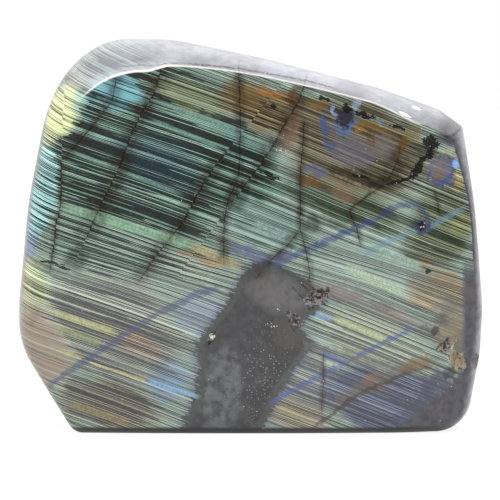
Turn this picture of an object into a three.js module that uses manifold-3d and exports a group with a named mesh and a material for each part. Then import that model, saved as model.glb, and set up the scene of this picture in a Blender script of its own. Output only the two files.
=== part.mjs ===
// Polished labradorite freeform: one stone, standing on its sawn flat base.
// Millimetres, +Z up, flashing face toward -Y, origin in the middle of the base.
import * as THREE from 'three';
import { mergeVertices } from 'three/addons/utils/BufferGeometryUtils.js';
import Module from 'manifold-3d';

// Driving dimensions
const FACE_Y = -21.5;           // flashing face at the base line
const FACE_LEAN = 0.075;        // it leans back by this much for each millimetre of height
const FACE_DOME = 1.3;          // how far its middle stands out from its edge
const BACK_Y = 24;              // ground back at the base line
const BACK_LEAN = 0.06;         // it leans in by this much for each millimetre of height
const BACK_DOME = 1.5;
const HALF_SIZE = [70, 60];      // half the width and height, over which both domes fall away
const CENTRE = [1, 58];         // x, z of the middle, which the rings of the surface close in on
const ARC_STEP = 0.16;          // turn between two stations on a rounded corner, in radians
const SIDE_STEP = 6;          // longest step between two stations on a straight stretch
const FACE_RINGS = 7;
const BEVEL_RINGS = 6;
const WALL_RINGS = 3;
const BACK_RINGS = 6;

// Corners of the outline seen from the front, anticlockwise from the left foot.
// Each has x, z and the radius it is rounded to, then the bevel between the face and the edge there:
// its width, its depth and its softness (1 starts at a sharp crease, 2 rolls over softly),
// and the width and depth of the rounding at the back.
const CORNERS = [
  { x: -53.4, z: 0, round: 5, bevel: 2.4, depth: 3, soft: 2, backBevel: 3, backDepth: 3.5 },
  { x: 42, z: 0, round: 1, bevel: 2.2, depth: 3, soft: 2, backBevel: 4, backDepth: 4 },
  { x: 65.6, z: 0, round: 11, bevel: 6, depth: 7, soft: 2, backBevel: 6, backDepth: 6 },
  { x: 70, z: 24, round: 30, bevel: 6, depth: 8, soft: 1.9, backBevel: 8, backDepth: 8 },
  { x: 70.5, z: 38, round: 40, bevel: 4, depth: 6, soft: 1.7, backBevel: 9, backDepth: 9 },
  { x: 68, z: 68, round: 100, bevel: 2.2, depth: 5, soft: 1.4, backBevel: 9, backDepth: 8 },
  { x: 64.6, z: 92.3, round: 2.5, bevel: 5, depth: 10, soft: 1.2, backBevel: 7, backDepth: 5 },
  { x: 57.6, z: 97.4, round: 8, bevel: 6.2, depth: 13, soft: 1, backBevel: 7, backDepth: 5 },
  { x: 39.5, z: 103.8, round: 60, bevel: 4.6, depth: 13, soft: 1, backBevel: 8, backDepth: 5 },
  { x: 2.9, z: 113.2, round: 120, bevel: 5.2, depth: 14, soft: 1, backBevel: 8, backDepth: 4 },
  { x: -24, z: 118.7, round: 50, bevel: 7.2, depth: 16, soft: 1, backBevel: 8, backDepth: 4 },
  { x: -44.6, z: 118.9, round: 22, bevel: 9, depth: 16, soft: 1, backBevel: 8, backDepth: 4 },
  { x: -57.3, z: 108.6, round: 30, bevel: 9.5, depth: 14, soft: 1.1, backBevel: 8, backDepth: 4 },
  { x: -62.8, z: 95, round: 40, bevel: 8.5, depth: 13, soft: 1.4, backBevel: 9, backDepth: 5 },
  { x: -67.8, z: 69.5, round: 120, bevel: 9, depth: 12, soft: 1.6, backBevel: 10, backDepth: 7 },
  { x: -70.7, z: 39, round: 50, bevel: 8, depth: 11, soft: 1.8, backBevel: 9, backDepth: 8 },
  { x: -70.5, z: 26.5, round: 26, bevel: 6, depth: 8, soft: 2, backBevel: 8, backDepth: 7 },
];

// Ground flats of the back: each starts where x or z passes `from` and falls away at `slope`.
const BACK_FLATS = [
  { alongX: -1, alongZ: 0, from: 30, slope: 0.22 },
  { alongX: 1, alongZ: 0, from: 34, slope: 0.24 },
  { alongX: 0, alongZ: 1, from: 84, slope: 0.22 },
  { alongX: -0.75, alongZ: 0.66, from: 84, slope: 0.25 },
];
const FLAT_BLEND = 1.6;         // softness of the ridges between the flats

// Hollows broken into the face and its edge: x, z of the middle, half sizes along x, y and z, turn.
const HOLLOWS = [
  { name: 'pocket', x: 20.2, z: 41.8, half: [3.9, 1.7, 2.3], turn: -0.35, seed: 1 },
  { name: 'trench', x: 13.4, z: 34.6, half: [1.5, 1.1, 3.3], turn: -0.62, seed: 4 },
  { name: 'pit', x: -11.6, z: 29.6, half: [0.9, 0.8, 0.9], turn: 0, seed: 7 },
  { name: 'rightPit', x: 59.4, z: 27.2, half: [3.4, 1.1, 1.5], turn: -0.6, seed: 9 },
  { name: 'edgeChip', x: 66.6, z: 22.4, half: [3.1, 2.4, 4.4], turn: -0.3, seed: 12 },
];

const [centreX, centreZ] = CENTRE;

// The rounded corners, each with the way it arrives, its turn, the hub of its arc and both ends.
function roundedCorners() {
  return CORNERS.map((corner, i) => {
    const before = CORNERS.at(i - 1);
    const after = CORNERS[(i + 1) % CORNERS.length];
    const here = new THREE.Vector2(corner.x, corner.z);
    const arriving = here.clone().sub(new THREE.Vector2(before.x, before.z)).normalize();
    const leaving = new THREE.Vector2(after.x, after.z).sub(here).normalize();
    const turn = Math.acos(THREE.MathUtils.clamp(arriving.dot(leaving), -1, 1));
    const reach = corner.round * Math.tan(turn / 2);
    const start = here.clone().addScaledVector(arriving, -reach);
    const hub = start.clone().addScaledVector(new THREE.Vector2(-arriving.y, arriving.x), corner.round);
    return { radius: corner.round, turn, start, hub, end: here.clone().addScaledVector(leaving, reach) };
  });
}

// Places along the outline: arcs in even turns, straight runs in even steps, each with the way it
// faces and how far along it lies. Also where each corner's middle lies, and the whole length.
function outlinePlaces() {
  const corners = roundedCorners();
  const places = [];
  const middles = [];
  let travelled = 0;
  corners.forEach(({ radius, turn, start, hub, end }, i) => {
    const steps = Math.ceil(turn / ARC_STEP);
    for (let k = 0; k <= steps; k++) {
      const angle = (turn * k) / Math.max(steps, 1);
      const point = start.clone().rotateAround(hub, angle);
      places.push({ point, outward: point.clone().sub(hub).normalize(), along: travelled + radius * angle });
    }
    middles.push(travelled + (radius * turn) / 2);
    travelled += radius * turn;
    const run = corners[(i + 1) % corners.length].start.clone().sub(end);
    const outward = new THREE.Vector2(run.y, -run.x).normalize();
    const pieces = Math.ceil(run.length() / SIDE_STEP);
    for (let k = 1; k < pieces; k++) {
      const point = end.clone().addScaledVector(run, k / pieces);
      places.push({ point, outward, along: travelled + (run.length() * k) / pieces });
    }
    travelled += run.length();
  });
  return { places, middles, length: travelled };
}

// A size of the bevels at a place, on a smooth closed curve through the corners' own values.
function sizeAt(key, along, { middles, length }) {
  const count = CORNERS.length;
  const before = middles.findLastIndex((middle) => middle <= along);
  const knot = (i) => middles[(i + count) % count] + length * Math.floor(i / count);
  const size = (i) => CORNERS[(i + count) % count][key];
  const pull = (i) => (size(i + 1) - size(i - 1)) / (knot(i + 1) - knot(i - 1));
  const gap = knot(before + 1) - knot(before);
  const t = (along - knot(before)) / gap;
  return size(before) * (2 * t ** 3 - 3 * t ** 2 + 1)
    + pull(before) * gap * (t ** 3 - 2 * t ** 2 + t)
    + size(before + 1) * (3 * t ** 2 - 2 * t ** 3)
    + pull(before + 1) * gap * (t ** 3 - t ** 2);
}

// Stations on the outline. A bevel's width becomes a share of the way in, measured square to the edge.
function outlineStations() {
  const outline = outlinePlaces();
  return outline.places.map(({ point, outward, along }) => {
    const across = outward.dot(new THREE.Vector2(point.x - centreX, point.y - centreZ));
    return {
      x: point.x,
      z: point.y,
      crease: 1 - sizeAt('bevel', along, outline) / across,
      depth: sizeAt('depth', along, outline),
      soft: sizeAt('soft', along, outline),
      backCrease: 1 - sizeAt('backBevel', along, outline) / across,
      backDepth: sizeAt('backDepth', along, outline),
    };
  });
}

// How far a point lies from the middle, squared, as a share of the stone's half size.
function swell(x, z) {
  return ((x - centreX) / HALF_SIZE[0]) ** 2 + ((z - centreZ) / HALF_SIZE[1]) ** 2;
}

function faceY(x, z) {
  return FACE_Y + FACE_LEAN * z + FACE_DOME * swell(x, z);
}

function backY(x, z) {
  const falls = BACK_FLATS.map((flat) => {
    const past = flat.alongX * x + flat.alongZ * z - flat.from;
    return Math.exp((flat.slope * past) / FLAT_BLEND);
  });
  const fallen = FLAT_BLEND * Math.log(1 + falls.reduce((sum, fall) => sum + fall, 0));
  return BACK_Y - BACK_LEAN * z - BACK_DOME * swell(x, z) - fallen;
}

// How far a bevel has fallen back at `share` of its width: square to the edge at the end.
function bevelFall(share, soft) {
  return 1 - Math.sqrt(1 - Math.pow(share, soft));
}

function ringPoint(at, share, y) {
  const x = centreX + share * (at.x - centreX);
  const z = centreZ + share * (at.z - centreZ);
  return new THREE.Vector3(x, y(x, z), z);
}

// Rings from the middle of the face, over the bevel, across the wall and in over the back.
function surfaceRings(stations) {
  const rings = [];
  for (let k = 1; k <= FACE_RINGS; k++) {
    const share = Math.pow(k / FACE_RINGS, 0.8);
    rings.push((at) => ringPoint(at, at.crease * share, faceY));
  }
  const edgeY = (at, x, z, share) => faceY(x, z) + at.depth * bevelFall(share, at.soft);
  const rearY = (at, x, z, share) => backY(x, z) - at.backDepth * bevelFall(share, 2);
  for (let k = 1; k <= BEVEL_RINGS; k++) {
    const share = Math.sin((Math.PI / 2) * (k / BEVEL_RINGS));
    rings.push((at) => {
      const reach = at.crease + (1 - at.crease) * share;
      return ringPoint(at, reach, (x, z) => edgeY(at, x, z, share));
    });
  }
  for (let k = 1; k < WALL_RINGS; k++) {
    rings.push((at) => ringPoint(at, 1, (x, z) => {
      const front = edgeY(at, x, z, 1);
      return front + (rearY(at, x, z, 1) - front) * (k / WALL_RINGS);
    }));
  }
  for (let k = BEVEL_RINGS; k >= 1; k--) {
    const share = Math.sin((Math.PI / 2) * (k / BEVEL_RINGS));
    rings.push((at) => {
      const reach = at.backCrease + (1 - at.backCrease) * share;
      return ringPoint(at, reach, (x, z) => rearY(at, x, z, share));
    });
  }
  for (let k = BACK_RINGS; k >= 1; k--) {
    rings.push((at) => ringPoint(at, (at.backCrease * k) / BACK_RINGS, backY));
  }
  return rings.map((ring) => stations.map(ring));
}

function stoneGeometry() {
  const stations = outlineStations();
  const rings = surfaceRings(stations);
  const count = stations.length;
  const positions = [centreX, faceY(centreX, centreZ), centreZ];
  rings.flat().forEach((point) => positions.push(point.x, point.y, point.z));
  const last = positions.length / 3;
  positions.push(centreX, backY(centreX, centreZ), centreZ);
  const index = [];
  for (let i = 0; i < count; i++) {
    const j = (i + 1) % count;
    index.push(0, 1 + i, 1 + j);
    for (let ring = 0; ring + 1 < rings.length; ring++) {
      const inner = 1 + ring * count;
      const outer = inner + count;
      index.push(inner + i, outer + i, outer + j, inner + i, outer + j, inner + j);
    }
    const end = 1 + (rings.length - 1) * count;
    index.push(end + j, end + i, last);
  }
  const geometry = new THREE.BufferGeometry();
  geometry.setAttribute('position', new THREE.Float32BufferAttribute(positions, 3));
  geometry.setIndex(index);
  return geometry;
}

// A small jagged lump, the negative of one broken hollow.
function hollowGeometry({ x, z, half, turn, seed }) {
  const lump = new THREE.IcosahedronGeometry(1, 1);
  lump.deleteAttribute('normal');
  lump.deleteAttribute('uv');
  const geometry = mergeVertices(lump, 1e-4);
  const points = geometry.attributes.position;
  for (let i = 0; i < points.count; i++) {
    const jag = 1 + 0.22 * Math.sin(seed * 12.9898 + i * 78.233);
    points.setXYZ(i, points.getX(i) * jag, points.getY(i) * jag, points.getZ(i) * jag);
  }
  geometry.scale(...half);
  geometry.rotateY(turn);
  geometry.translate(x, faceY(x, z), z);
  return geometry;
}

const wasm = await Module();
wasm.setup();

function toSolid(geometry) {
  return new wasm.Manifold(new wasm.Mesh({
    numProp: 3,
    vertProperties: new Float32Array(geometry.attributes.position.array),
    triVerts: new Uint32Array(geometry.index.array),
  }));
}

function toGeometry(solid) {
  const mesh = solid.getMesh();
  const geometry = new THREE.BufferGeometry();
  geometry.setAttribute('position', new THREE.Float32BufferAttribute(mesh.vertProperties, 3));
  geometry.setIndex([...mesh.triVerts]);
  geometry.computeVertexNormals();
  return geometry;
}

const stone = HOLLOWS.reduce(
  (solid, hollow) => solid.subtract(toSolid(hollowGeometry(hollow))),
  toSolid(stoneGeometry()),
);

const labradorite = new THREE.Mesh(
  toGeometry(stone),
  new THREE.MeshStandardMaterial({ color: 0x5e6b62, roughness: 0.12, metalness: 0 }),
);
labradorite.name = 'labradorite';

// The origin lies under the middle of the stone's box.
const box = new THREE.Box3().setFromObject(labradorite);
labradorite.position.set(-(box.min.x + box.max.x) / 2, -(box.min.y + box.max.y) / 2, 0);

const part = new THREE.Group();
part.add(labradorite);

export default part;
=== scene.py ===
import functools
import math

import bmesh
import bpy
import numpy as np
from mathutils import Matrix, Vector, noise


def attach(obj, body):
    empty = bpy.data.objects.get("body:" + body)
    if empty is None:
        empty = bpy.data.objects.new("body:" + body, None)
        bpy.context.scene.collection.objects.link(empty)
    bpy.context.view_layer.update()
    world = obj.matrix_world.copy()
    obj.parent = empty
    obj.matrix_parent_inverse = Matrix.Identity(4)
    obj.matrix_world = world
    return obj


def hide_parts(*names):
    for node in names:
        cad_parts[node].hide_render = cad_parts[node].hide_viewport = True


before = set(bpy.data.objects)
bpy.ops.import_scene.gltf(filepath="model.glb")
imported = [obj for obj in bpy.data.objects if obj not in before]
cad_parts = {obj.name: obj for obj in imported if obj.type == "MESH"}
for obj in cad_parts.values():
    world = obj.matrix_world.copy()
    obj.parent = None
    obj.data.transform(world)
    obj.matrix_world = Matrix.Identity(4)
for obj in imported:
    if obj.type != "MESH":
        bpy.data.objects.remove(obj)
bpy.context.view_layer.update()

# --- The stone ---------------------------------------------------------
# One block of labradorite, sawn flat underneath so that it stands, ground to a broad flashing face
# that leans back a little, bevelled round that face and along the crown, rounded behind, and
# polished all over. Sizes here are in millimetres.
MM = 0.001
FACE_Y = -21.5
FACE_LEAN = 0.045
FACE_DOME = 1.3
BACK_Y = 24
BACK_LEAN = 0.06
BACK_DOME = 1.5
CENTRE = np.array([1.0, 58.0])
HALF_WIDTH = 70
HALF_HEIGHT = 60
ARC_STEP = 0.05
SIDE_STEP = 1.05
CENTRE_SPREAD = 0.9
FACE_RINGS = 46
BEVEL_RINGS = 22
WALL_RINGS = 8
BACK_RINGS = 30
CREASE_ROUND = 2

# Corners of the outline from the left foot, anticlockwise as seen from the front: x, z, the radius
# they are ground to, the bevel's width, depth and softness there, and the back rounding's two sizes.
CORNERS = [
    (-53.4, 0, 5, 2.4, 3, 2, 3, 3.5),
    (42, 0, 1, 2.2, 3, 2, 4, 4),
    (65.6, 0, 11, 6, 7, 2, 6, 6),
    (70, 24, 30, 6, 8, 1.9, 8, 8),
    (70.5, 38, 40, 4, 6, 1.7, 9, 9),
    (68, 68, 100, 2.2, 5, 1.4, 9, 8),
    (64.6, 92.3, 2.5, 5, 10, 1.2, 7, 5),
    (57.6, 97.4, 8, 6.2, 13, 1, 7, 5),
    (39.5, 103.8, 60, 4.6, 13, 1, 8, 5),
    (2.9, 113.2, 120, 5.2, 14, 1, 8, 4),
    (-24, 118.7, 50, 7.2, 16, 1, 8, 4),
    (-44.6, 118.9, 22, 10.8, 16, 1, 8, 4),
    (-57.3, 108.6, 30, 9.2, 14, 1.1, 8, 4),
    (-62.8, 95, 40, 8.5, 13, 1.4, 9, 5),
    (-67.8, 69.5, 120, 9, 12, 1.6, 10, 7),
    (-70.7, 39, 50, 8, 11, 1.8, 9, 8),
    (-70.5, 26.5, 26, 6, 8, 2, 8, 7),
]
# Ground flats of the back: direction along x and z, where each starts, and how fast it falls away.
BACK_FLATS = [
    (-1, 0, 30, 0.22),
    (1, 0, 34, 0.24),
    (0, 1, 84, 0.22),
    (-0.75, 0.66, 84, 0.25),
]
FLAT_BLEND = 1.6


def outline():
    """Stations along the ground outline: x, z, and the crease, depth and softness of the bevels."""
    corners = np.array(CORNERS, float)
    points = corners[:, :2]
    arcs = []
    neighbours = zip(points, np.roll(points, 1, 0), np.roll(points, -1, 0), corners[:, 2])
    for here, before, after, radius in neighbours:
        arriving = (here - before) / np.linalg.norm(here - before)
        leaving = (after - here) / np.linalg.norm(after - here)
        turn = math.acos(np.clip(arriving @ leaving, -1, 1))
        reach = radius * math.tan(turn / 2)
        hub = here - arriving * reach + radius * np.array([-arriving[1], arriving[0]])
        arcs.append((arriving, turn, reach, hub, here + leaving * reach))
    places = []
    middles = []
    travelled = 0
    for i, (arriving, turn, reach, hub, end) in enumerate(arcs):
        radius = corners[i, 2]
        steps = math.ceil(turn / ARC_STEP)
        heading = math.atan2(arriving[1], arriving[0]) - math.pi / 2
        for k in range(steps + 1):
            part = k / max(steps, 1)
            angle = heading + turn * part
            outward = np.array([math.cos(angle), math.sin(angle)])
            places.append((hub + radius * outward, outward, travelled + radius * turn * part))
        middles.append(travelled + radius * turn / 2)
        travelled += radius * turn
        after = (i + 1) % len(arcs)
        run = points[after] - arcs[after][0] * arcs[after][2] - end
        length = np.linalg.norm(run)
        outward = np.array([run[1], -run[0]]) / length
        pieces = math.ceil(length / SIDE_STEP)
        for k in range(1, pieces):
            places.append((end + run * k / pieces, outward, travelled + length * k / pieces))
        travelled += length
    stations = []
    for point, outward, along in places:
        sizes = sizes_at(along, np.array(middles), corners[:, 3:], travelled)
        bevel, depth, soft, back_bevel, back_depth = sizes
        across = outward @ (point - CENTRE)
        stations.append((*point, 1 - bevel / across, depth, soft, 1 - back_bevel / across, back_depth))
    return np.array(stations)


def sizes_at(along, middles, sizes, total):
    """A smooth closed curve through the sizes given at the corners' middles."""
    count = len(middles)
    before = int(np.searchsorted(middles, along, side="right")) - 1

    def knot(i):
        return middles[i % count] + total * (i // count)

    def size(i):
        return sizes[i % count]

    def pull(i):
        return (size(i + 1) - size(i - 1)) / (knot(i + 1) - knot(i - 1))

    gap = knot(before + 1) - knot(before)
    t = (along - knot(before)) / gap
    return (
        size(before) * (2 * t**3 - 3 * t**2 + 1)
        + pull(before) * gap * (t**3 - 2 * t**2 + t)
        + size(before + 1) * (3 * t**2 - 2 * t**3)
        + pull(before + 1) * gap * (t**3 - t**2)
    )


def swell(x, z):
    """How far a point lies from the middle, squared, as a share of the stone's half size."""
    return ((x - CENTRE[0]) / HALF_WIDTH) ** 2 + ((z - CENTRE[1]) / HALF_HEIGHT) ** 2


def face_y(x, z):
    """The face, leaning back and slightly domed."""
    return FACE_Y + FACE_LEAN * z + FACE_DOME * swell(x, z)


def back_y(x, z):
    """The back, with its ground flats running into one another."""
    falls = sum(np.exp(slope * (ax * x + az * z - start) / FLAT_BLEND) for ax, az, start, slope in BACK_FLATS)
    return BACK_Y - BACK_LEAN * z - BACK_DOME * swell(x, z) - FLAT_BLEND * np.log(1 + falls)


def bevel_fall(share, soft):
    """How far a bevel has fallen away at a share of its width, as a share of its depth."""
    return 1 - np.sqrt(np.maximum(1 - share**soft, 0))


x_edge, z_edge, crease, depth, soft, back_crease, back_depth = outline().T
rings = []


def ring(share, y_at):
    """One closed line of points round the stone, at a share of the way from its middle to the outline."""
    x = CENTRE[0] + share * (x_edge - CENTRE[0])
    z = CENTRE[1] + share * (z_edge - CENTRE[1])
    rings.append((x, y_at(x, z), z))


def edge_y(x, z, share):
    """The bevel round the face, falling back towards the wall."""
    return face_y(x, z) + depth * bevel_fall(share, soft)


def rear_y(x, z, share):
    """The rounding round the back, falling forward towards the wall."""
    return back_y(x, z) - back_depth * bevel_fall(share, 2)


for k in range(1, FACE_RINGS + 1):
    ring(crease * math.sin(math.pi / 2 * k / FACE_RINGS) ** CENTRE_SPREAD, face_y)
for k in range(1, BEVEL_RINGS + 1):
    share = math.sin(math.pi / 2 * k / BEVEL_RINGS)
    ring(crease + (1 - crease) * share, lambda x, z: edge_y(x, z, share))
for k in range(1, WALL_RINGS):
    share = k / WALL_RINGS
    ring(1, lambda x, z: edge_y(x, z, 1) * (1 - share) + rear_y(x, z, 1) * share)
for k in range(BEVEL_RINGS, 0, -1):
    share = math.sin(math.pi / 2 * k / BEVEL_RINGS)
    ring(back_crease + (1 - back_crease) * share, lambda x, z: rear_y(x, z, share))
for k in range(BACK_RINGS, 0, -1):
    ring(back_crease * k / BACK_RINGS, back_y)

grid = np.array(rings).transpose(0, 2, 1)
ring_count, station_count = grid.shape[:2]

# Polishing takes the knife edge off the crease between the face and its bevel.
for _ in range(CREASE_ROUND):
    near = slice(FACE_RINGS - 4, FACE_RINGS + 3)
    inner_side = grid[FACE_RINGS - 5 : FACE_RINGS + 2]
    outer_side = grid[FACE_RINGS - 3 : FACE_RINGS + 4]
    grid[near] = (inner_side + 2 * grid[near] + outer_side) / 4

middle = [CENTRE[0], face_y(*CENTRE), CENTRE[1]]
back_middle = [CENTRE[0], back_y(*CENTRE), CENTRE[1]]
points = np.vstack([middle, grid.reshape(-1, 3), back_middle])
shift = np.array([points[:, 0].min() + points[:, 0].max(), points[:, 1].min() + points[:, 1].max(), 0]) / 2
points = (points - shift) * MM

# Every face with its place on the flat sheet that carries the finish: the face and its bevel are
# seen straight on, the back likewise and smaller, and the wall between them is unrolled in a strip.
FRONT_WIDE = 0.8
FRONT_LOW = 0.32
BACK_WIDE = 0.36
BACK_HIGH = 0.3
WALL_LEFT = 0.82
wall_start = FACE_RINGS + BEVEL_RINGS - 1
wall_end = ring_count - BACK_RINGS
steps = np.hypot(np.diff(x_edge, append=x_edge[0]), np.diff(z_edge, append=z_edge[0]))
travelled = np.append(0, np.cumsum(steps)) / steps.sum()
low, high = points.min(axis=0), points.max(axis=0)
shares = (points - low) / (high - low)
faces = []
sheet = []
last = len(points) - 1


def add_face(corners, places):
    """One face and the places of its corners on the sheet."""
    faces.append(corners)
    sheet.extend(places)


def on_front(*corners):
    """A face of the flashing side, seen straight on."""
    high = 1 - FRONT_LOW
    add_face(corners, [(FRONT_WIDE * shares[c, 0], FRONT_LOW + high * shares[c, 2]) for c in corners])


def on_back(*corners):
    """A face of the back, seen from behind."""
    add_face(corners, [(BACK_WIDE * (1 - shares[c, 0]), BACK_HIGH * shares[c, 2]) for c in corners])


for i in range(station_count):
    j = (i + 1) % station_count
    on_front(0, 1 + i, 1 + j)
    for k in range(ring_count - 1):
        inner = 1 + k * station_count
        outer = inner + station_count
        corners = (inner + i, outer + i, outer + j, inner + j)
        if k < wall_start:
            on_front(*corners)
        elif k >= wall_end:
            on_back(*corners)
        else:
            left, right = [
                WALL_LEFT + (1 - WALL_LEFT) * (n - wall_start) / (wall_end - wall_start) for n in (k, k + 1)
            ]
            low_end, high_end = travelled[i], travelled[i + 1]
            add_face(corners, [(left, low_end), (right, low_end), (right, high_end), (left, high_end)])
    end = 1 + (ring_count - 1) * station_count
    on_back(end + j, end + i, last)

mesh = bpy.data.meshes.new("polished_labradorite")
mesh.from_pydata(points.tolist(), [], faces)
mesh.polygons.foreach_set("use_smooth", [True] * len(mesh.polygons))
mesh.uv_layers.new(name="OFBake").uv.foreach_set("vector", np.array(sheet).ravel())
mesh.update()
stone = bpy.data.objects.new("polished_labradorite", mesh)
bpy.context.scene.collection.objects.link(stone)

# Crumbs fell out of the stone in six places before it was polished. Their floors are rough and their
# rims broken: middle x and z, half width, depth, half height and turn.
HOLLOWS = [
    (20.2, 41.8, 3.9, 1.7, 2.3, 0.35),
    (13.4, 34.6, 1.5, 1.1, 3.3, 0.62),
    (-11.6, 29.6, 0.9, 0.8, 0.9, 0),
    (59.4, 27.2, 3.4, 1.1, 1.5, 0.6),
    (62.6, 22.0, 2.3, 1.3, 3.0, 0.5),
    (68.2, 21.6, 1.6, 1.2, 2.6, 0),
]
CRUMB = 0.28
HOLLOW_BEHIND = 7
HOLLOW_ROUND = 1.6
FINER_PASSES = 4
FINER_REACH = 1.25
RIM_RAG = 0.35
RIM_GRAIN = 0.7
FLOOR_GRAINS = [(1.1, 0.35), (2.6, 0.25)]
FLOOR_SINK = 0.8
shape = bmesh.new()
shape.from_mesh(mesh)


def verts_near(x_mid, z_mid, size):
    """The face's points round a hollow."""
    x_at, z_at, size = (x_mid - shift[0]) * MM, z_mid * MM, size * MM
    return [v for v in shape.verts if abs(v.co.x - x_at) < size and abs(v.co.z - z_at) < size and v.co.y < 0]


def hollow_reach(spot, x_mid, z_mid, half_x, half_z, turn):
    """0 in the middle of a hollow, 1 at its broken rim, and more behind the face."""
    x_at, y_at, z_at = spot / MM + Vector(shift)
    across, height = x_at - x_mid, z_at - z_mid
    run = (across * math.cos(turn) + height * math.sin(turn)) / half_x
    rise = (height * math.cos(turn) - across * math.sin(turn)) / half_z
    behind = max(y_at - face_y(x_at, z_at), 0) / HOLLOW_BEHIND
    return math.hypot(run, rise, behind) * (1 + RIM_RAG * noise.noise(spot / MM * RIM_GRAIN))


for x_mid, z_mid, half_x, deep, half_z, turn in HOLLOWS:
    oval = (x_mid, z_mid, half_x, half_z, turn)
    size = HOLLOW_ROUND * max(half_x, half_z)
    for _ in range(FINER_PASSES):
        long = []
        for edge in {edge for vert in verts_near(x_mid, z_mid, size) for edge in vert.link_edges}:
            start, end = edge.verts
            halfway = (start.co + end.co) / 2
            if (start.co - end.co).length > CRUMB * MM and hollow_reach(halfway, *oval) < FINER_REACH:
                long.append(edge)
        long.sort(key=lambda edge: tuple(edge.verts[0].co) + tuple(edge.verts[1].co))
        bmesh.ops.subdivide_edges(shape, edges=long, cuts=1, use_grid_fill=True)
    shape.normal_update()
    sunk = []
    for vert in verts_near(x_mid, z_mid, size):
        reach = hollow_reach(vert.co, *oval)
        if reach < 1:
            rough = sum(noise.noise(vert.co / MM * grain) * amount for grain, amount in FLOOR_GRAINS)
            sunk.append((vert, vert.normal * -MM * deep * (1 - reach**3) * (FLOOR_SINK + rough)))
    for vert, move in sunk:
        vert.co += move
        for face in vert.link_faces:
            face.smooth = False
shape.to_mesh(mesh)
shape.free()

# How the stone is built up inside: labradorite grows in thin twinned sheets. One set flashes in this
# light and the other stays dark, so the face is striped. Everything is placed in millimetres.


class Field:
    """A value or colour that varies through the stone. Arithmetic on it adds Math nodes."""

    def __init__(self, socket):
        self.socket = socket

    def node(self, kind, settings, inputs, output=0):
        """A new node of a kind: its settings first, then the values or links of its inputs."""
        tree = self.socket.id_data
        made = tree.nodes.new(kind)
        for name, value in settings.items():
            if name == "line":
                curve = made.mapping.curves[0]
                for _ in value[2:]:
                    curve.points.new(0.5, 0.5)
                for point, place in zip(curve.points, value):
                    point.location = place
                    point.handle_type = "VECTOR"
                made.mapping.update()
            else:
                setattr(made, name, value)
        for name, value in inputs.items():
            if isinstance(value, Field):
                tree.links.new(value.socket, made.inputs[name])
            else:
                made.inputs[name].default_value = value
        return Field(made.outputs[output])

    def beside(self, output):
        """Another output of the same node."""
        return Field(self.socket.node.outputs[output])

    def math(self, operation, first, second):
        """Two values worked into one."""
        return self.node("ShaderNodeMath", {"operation": operation}, {0: first, 1: second})

    def __add__(self, other):
        return self.math("ADD", self, other)

    __radd__ = __add__

    def __sub__(self, other):
        return self.math("SUBTRACT", self, other)

    def __rsub__(self, other):
        return self.math("SUBTRACT", other, self)

    def __mul__(self, other):
        return self.math("MULTIPLY", self, other)

    __rmul__ = __mul__

    def __truediv__(self, other):
        return self.math("DIVIDE", self, other)

    def __abs__(self):
        return self.math("ABSOLUTE", self, 0.0)

    def over(self, other):
        """The larger of the two."""
        return self.math("MAXIMUM", self, other)

    def rise(self, low, high):
        """0 at low and 1 at high, eased between them. Low may be the larger number."""
        limits = {"From Min": low, "From Max": high}
        if isinstance(high, Field) or low > high:
            limits = {"From Min": high, "From Max": low, "To Min": 1.0, "To Max": 0.0}
        settings = {"interpolation_type": "SMOOTHSTEP"}
        return self.node("ShaderNodeMapRange", settings, {"Value": self, **limits})

    def between(self, first, second):
        """The first colour turning into the second by this share."""
        settings = {"data_type": "RGBA", "clamp_factor": False}
        return self.node("ShaderNodeMix", settings, {0: self, 6: first, 7: second}, 2)

    def blend(self, other, share):
        """This colour turning into the other by share."""
        return share.between(self, other)

    def shade(self, amount):
        """This colour made darker or lighter."""
        return amount.between((0.0, 0.0, 0.0, 1.0), self)

    def split(self):
        """The three parts of a colour or place."""
        kind = "ShaderNodeSeparateColor" if self.socket.type == "RGBA" else "ShaderNodeSeparateXYZ"
        first = self.node(kind, {}, {0: self})
        return first, first.beside(1), first.beside(2)

    def grain(self, scale, detail=2.0, roughness=0.5, output="Fac"):
        """Cloudy noise at this place, coarser where scale is smaller."""
        inputs = {"Vector": self, "Scale": scale, "Detail": detail, "Roughness": roughness}
        return self.node("ShaderNodeTexNoise", {}, inputs, output)


def largest(fields):
    """The largest of several fields."""
    return functools.reduce(Field.over, fields)


def tone(red, green, blue, alpha=1.0):
    """A colour as it reads on a screen, 0 to 255, turned into light."""
    light = [((v / 255 + 0.055) / 1.055) ** 2.4 if v > 10 else v / 3295 for v in (red, green, blue)]
    return (*light, alpha)


finish = bpy.data.materials.new("labradorite")
finish.use_nodes = True
surface = finish.node_tree.nodes["Principled BSDF"]
coordinates = Field(finish.node_tree.nodes.new("ShaderNodeTexCoord").outputs["Object"])
facing = Field(finish.node_tree.nodes.new("ShaderNodeNewGeometry").outputs["Normal"])
sideways, rearward, upward = facing.split()

# Places in millimetres from the outline's own zero: right, back and up.
to_millimetres = {"Vector": coordinates, "Scale": (1 / MM,) * 3, "Location": shift}
place = coordinates.node("ShaderNodeMapping", {}, to_millimetres)
x, y, z = place.split()

# Noise that breaks up edges and colours, from fine to slow.
TEAR = 1.2
ragged, cloudy, mottled = place.grain(0.4, 4.0, 0.6, "Color").split()
ragged = ragged - 0.5
torn = place.grain(1.1, 3.0, 0.65)
drift_x, drift_z, broad_cloud = place.grain(0.07, 3.0, 0.6, "Color").split()


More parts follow.
